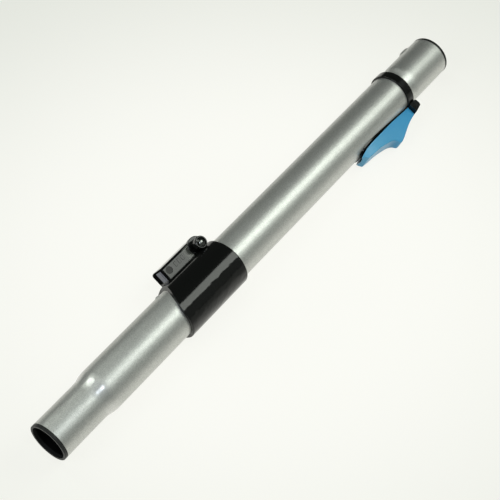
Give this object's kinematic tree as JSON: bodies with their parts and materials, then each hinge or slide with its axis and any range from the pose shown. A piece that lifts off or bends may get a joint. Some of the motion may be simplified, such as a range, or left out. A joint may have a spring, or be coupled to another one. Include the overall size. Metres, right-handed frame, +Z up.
{
  "type": "telescopic vacuum tube",
  "caption": "Telescopic vacuum-cleaner tube, pushed in: silver steel tube with a spigot end, a flared handle socket, a blue release lever, an end collar and a clamp-on parking sleeve.",
  "frame": {"origin": "centre of the floor-tool end, on the tube's axis", "axes": "+X along the tube from the floor-tool end to the handle end, +Z up as the tube lies at rest, +Y to the left"},
  "size_m": [0.5237, 0.0757, 0.0479],
  "materials": {
    "silver_paint": "silver metallic paint with a fine flake, satin",
    "black_plastic": "moulded, semi-gloss",
    "blue_plastic": "moulded, satin",
    "guide_plastic": "plain, slippery",
    "seal_rubber": "matt",
    "plain_steel": "bright",
    "black_steel": "black, glossy"
  },
  "bodies": {
    "outer": {"outer_tube": "silver_paint", "nozzle_end_ring": "black_plastic", "collar": "black_plastic", "guide_bush": "guide_plastic", "wiper_seal": "seal_rubber", "lever_pivot_pin": "plain_steel", "lever_spring": "plain_steel", "parking_clamp": "black_plastic", "clamp_screw": "black_steel", "clamp_nut": "plain_steel"},
    "inner": {"inner_tube": "silver_paint", "socket_liner": "black_plastic", "tail_guide": "guide_plastic", "tail_seal": "seal_rubber"},
    "lever": {"release_lever": "blue_plastic", "locking_tooth": "plain_steel"}
  },
  "joints": [
    {"name": "telescope_slide", "type": "slide", "parent": "outer", "child": "inner", "axis": [1, 0, 0], "range_m": [0, 0.324]},
    {"name": "lever_pivot", "type": "hinge", "parent": "outer", "child": "lever", "pos_m": [0.4282, -0.02245, -0.01031], "axis": [0, 0.4173, -0.9088], "range_deg": [0, 2.2], "stiffness_Nm_per_rad": 1.5, "springref_deg": -11.46, "deforming": ["lever_spring"]}
  ]
}
